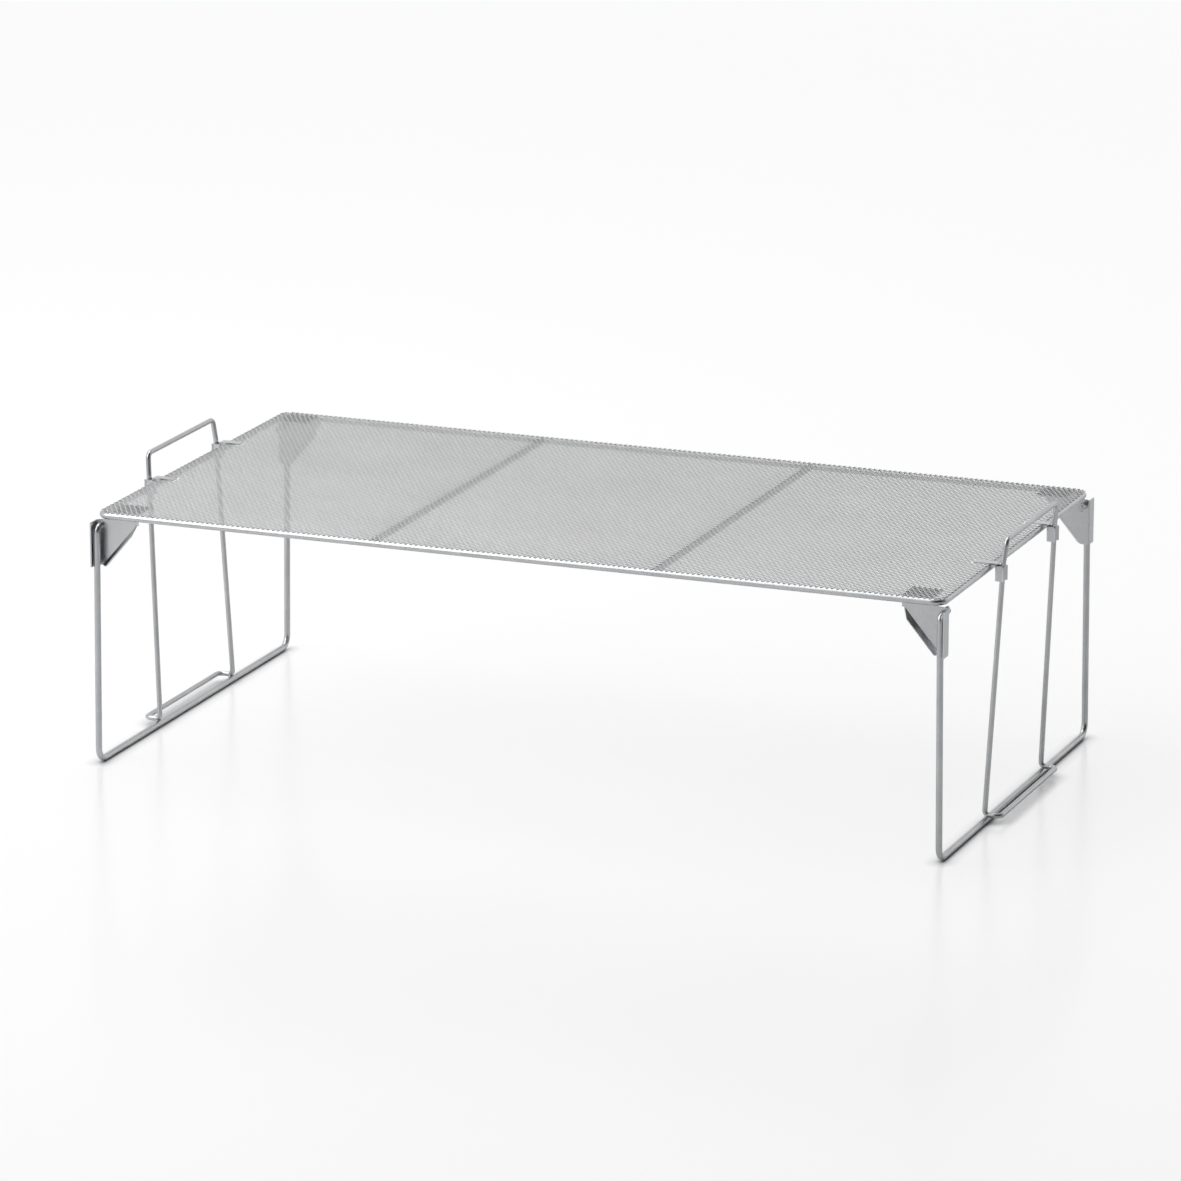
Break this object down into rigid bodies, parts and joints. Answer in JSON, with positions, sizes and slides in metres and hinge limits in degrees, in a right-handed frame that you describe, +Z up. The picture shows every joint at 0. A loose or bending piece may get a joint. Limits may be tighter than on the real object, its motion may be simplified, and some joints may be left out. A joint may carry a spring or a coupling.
{
  "type": "folding cooling rack",
  "caption": "Low rectangular wire rack with an expanded-metal top on fold-under wire legs, with snap-in end loops as grips and stacking stops.",
  "frame": {"origin": "middle of the footprint on the surface it stands on", "axes": "+X along the rack's length, +Y across it, +Z up"},
  "size_m": [0.5024, 0.2552, 0.1558],
  "materials": {
    "frame_wire": "bright tin-plated round steel wire",
    "mesh": "plated expanded metal, fine diamond mesh",
    "bracket_sheet": "plated pressed sheet",
    "clip_sheet": "plated spring sheet",
    "leg_wire": "bright plated round steel wire",
    "loop_wire": "bright plated round steel wire"
  },
  "bodies": {
    "rack": {"top_frame": "frame_wire", "mesh_sheet": "mesh", "cross_bar_left": "frame_wire", "cross_bar_right": "frame_wire", "bracket_left_front": "bracket_sheet", "bracket_left_back": "bracket_sheet", "bracket_right_front": "bracket_sheet", "bracket_right_back": "bracket_sheet", "snap_clip_left_front": "clip_sheet", "snap_clip_left_back": "clip_sheet", "snap_clip_right_front": "clip_sheet", "snap_clip_right_back": "clip_sheet"},
    "leg_frame_left": {"leg_left": "leg_wire", "lock_loop_left": "loop_wire"},
    "leg_frame_right": {"leg_right": "leg_wire", "lock_loop_right": "loop_wire"}
  },
  "joints": [
    {"name": "leg_left_fold", "type": "hinge", "parent": "rack", "child": "leg_frame_left", "pos_m": [-0.24025, 0, 0.1333], "axis": [0, -1, 0], "range_deg": [0, 91.5]},
    {"name": "leg_right_fold", "type": "hinge", "parent": "rack", "child": "leg_frame_right", "pos_m": [0.24025, 0, 0.1333], "axis": [0, 1, 0], "range_deg": [0, 91.5]}
  ]
}
